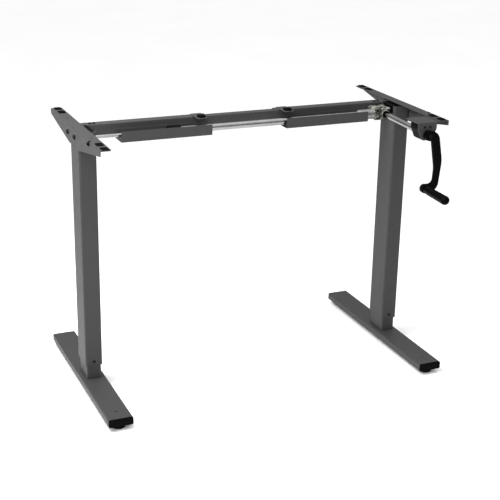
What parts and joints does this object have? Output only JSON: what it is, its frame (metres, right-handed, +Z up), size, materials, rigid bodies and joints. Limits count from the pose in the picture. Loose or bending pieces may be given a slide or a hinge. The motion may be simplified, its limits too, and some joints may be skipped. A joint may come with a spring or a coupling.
{
  "type": "height adjustable standing desk frame",
  "caption": "Two-leg standing desk frame raised by a hand crank, with telescoping columns, a width-adjustable beam and a cross drive rod.",
  "frame": {"origin": "on the floor, under the middle of the whole outline", "axes": "+X along the desk towards the crank side, +Y towards the back, +Z up"},
  "size_m": [1.033, 0.6911, 0.77],
  "materials": {
    "frame_paint": "satin powder coat",
    "black_plastic": "matte",
    "crank_plastic": "satin",
    "bearing_plastic": "smooth",
    "rubber": "matte",
    "black_screws": "black oxide",
    "bright_steel": "zinc plated",
    "sleeve_steel": "turned",
    "gear_steel": "machined",
    "cast_metal": "raw casting"
  },
  "bodies": {
    "left_base": {"left_foot_tube": "frame_paint", "left_foot_caps": "black_plastic", "left_foot_screws": "black_screws", "left_lower_column": "frame_paint", "left_slider": "bearing_plastic", "left_nut_block": "bearing_plastic"},
    "left_front_glide": {"left_glide_front": "black_plastic"},
    "left_rear_glide": {"left_glide_rear": "black_plastic"},
    "left_frame": {"left_upper_column": "frame_paint", "left_guide_bush": "bearing_plastic", "left_guide_screw": "black_screws", "left_gear_housing": "black_plastic", "left_bracket": "frame_paint", "left_pads": "rubber", "left_bracket_bolts": "black_screws", "left_beam": "frame_paint", "left_beam_screws": "black_screws", "left_ear": "frame_paint", "left_rod_cover": "frame_paint"},
    "left_screw": {"left_lift_screw": "bright_steel", "left_screw_bevel": "gear_steel"},
    "left_rod": {"hex_rod": "bright_steel", "left_input_bevel": "gear_steel"},
    "width_rail": {"center_rail": "frame_paint"},
    "right_frame": {"right_upper_column": "frame_paint", "right_guide_bush": "bearing_plastic", "right_guide_screw": "black_screws", "right_gear_housing": "black_plastic", "right_bracket": "frame_paint", "right_pads": "rubber", "right_bracket_bolts": "black_screws", "right_beam": "frame_paint", "right_beam_screws": "black_screws", "right_ear": "frame_paint", "right_rod_cover": "frame_paint", "crank_gearbox": "cast_metal", "bearing_ring": "cast_metal", "crank_hanger": "frame_paint", "shaft_bearing": "black_plastic", "bearing_screws": "black_screws"},
    "right_base": {"right_foot_tube": "frame_paint", "right_foot_caps": "black_plastic", "right_foot_screws": "black_screws", "right_lower_column": "frame_paint", "right_slider": "bearing_plastic", "right_nut_block": "bearing_plastic"},
    "right_front_glide": {"right_glide_front": "black_plastic"},
    "right_rear_glide": {"right_glide_rear": "black_plastic"},
    "right_screw": {"right_lift_screw": "bright_steel", "right_screw_bevel": "gear_steel"},
    "cross_drive": {"drive_tube": "bright_steel", "tube_collar": "black_plastic", "coupling_sleeve": "sleeve_steel", "cross_shaft": "gear_steel"},
    "crank": {"crank_shaft": "bright_steel", "crank_bevel": "gear_steel", "crank_arm": "crank_plastic", "hub_screw": "black_screws", "grip_pin": "bright_steel"},
    "grip": {"crank_grip": "crank_plastic"}
  },
  "joints": [
    {"name": "lift", "type": "slide", "parent": "left_base", "child": "left_frame", "axis": [0, 0, 1], "range_m": [-0.03, 0.43]},
    {"name": "right_column_slide", "type": "slide", "parent": "right_frame", "child": "right_base", "axis": [0, 0, -1], "range_m": [-0.03, 0.43]},
    {"name": "left_width_slide", "type": "slide", "parent": "left_frame", "child": "width_rail", "axis": [1, 0, 0], "range_m": [-0.06, 0.09]},
    {"name": "right_width_slide", "type": "slide", "parent": "width_rail", "child": "right_frame", "axis": [1, 0, 0], "range_m": [-0.06, 0.09]},
    {"name": "left_screw_turn", "type": "hinge", "parent": "left_frame", "child": "left_screw", "pos_m": [-0.4815, 0.04, 0.7], "axis": [0, 0, 1], "continuous": true},
    {"name": "right_screw_turn", "type": "hinge", "parent": "right_frame", "child": "right_screw", "pos_m": [0.4815, 0.04, 0.7], "axis": [0, 0, 1], "continuous": true},
    {"name": "left_rod_turn", "type": "hinge", "parent": "left_frame", "child": "left_rod", "pos_m": [-0.2, 0.04, 0.737], "axis": [1, 0, 0], "continuous": true},
    {"name": "cross_drive_turn", "type": "hinge", "parent": "right_frame", "child": "cross_drive", "pos_m": [0.1, 0.04, 0.737], "axis": [1, 0, 0], "continuous": true},
    {"name": "crank_turn", "type": "hinge", "parent": "right_frame", "child": "crank", "pos_m": [0.4405, -0.09995, 0.73333], "axis": [0, 0.9997, 0.0262], "continuous": true},
    {"name": "grip_turn", "type": "hinge", "parent": "crank", "child": "grip", "pos_m": [0.4405, -0.28582, 0.57291], "axis": [0, 0.9997, 0.0262], "continuous": true},
    {"name": "left_front_glide_screw", "type": "slide", "parent": "left_base", "child": "left_front_glide", "axis": [0, 0, -1], "range_m": [0, 0.01]},
    {"name": "left_rear_glide_screw", "type": "slide", "parent": "left_base", "child": "left_rear_glide", "axis": [0, 0, -1], "range_m": [0, 0.01]},
    {"name": "right_front_glide_screw", "type": "slide", "parent": "right_base", "child": "right_front_glide", "axis": [0, 0, -1], "range_m": [0, 0.01]},
    {"name": "right_rear_glide_screw", "type": "slide", "parent": "right_base", "child": "right_rear_glide", "axis": [0, 0, -1], "range_m": [0, 0.01]}
  ],
  "couplings": [
    {"joint": "right_column_slide", "follows": "lift", "ratio": 1},
    {"joint": "left_screw_turn", "follows": "lift", "rad_per_m": 785.4},
    {"joint": "right_screw_turn", "follows": "lift", "rad_per_m": -785.4},
    {"joint": "left_rod_turn", "follows": "lift", "rad_per_m": 785.4},
    {"joint": "cross_drive_turn", "follows": "lift", "rad_per_m": 785.4},
    {"joint": "crank_turn", "follows": "lift", "rad_per_m": 785.4}
  ]
}
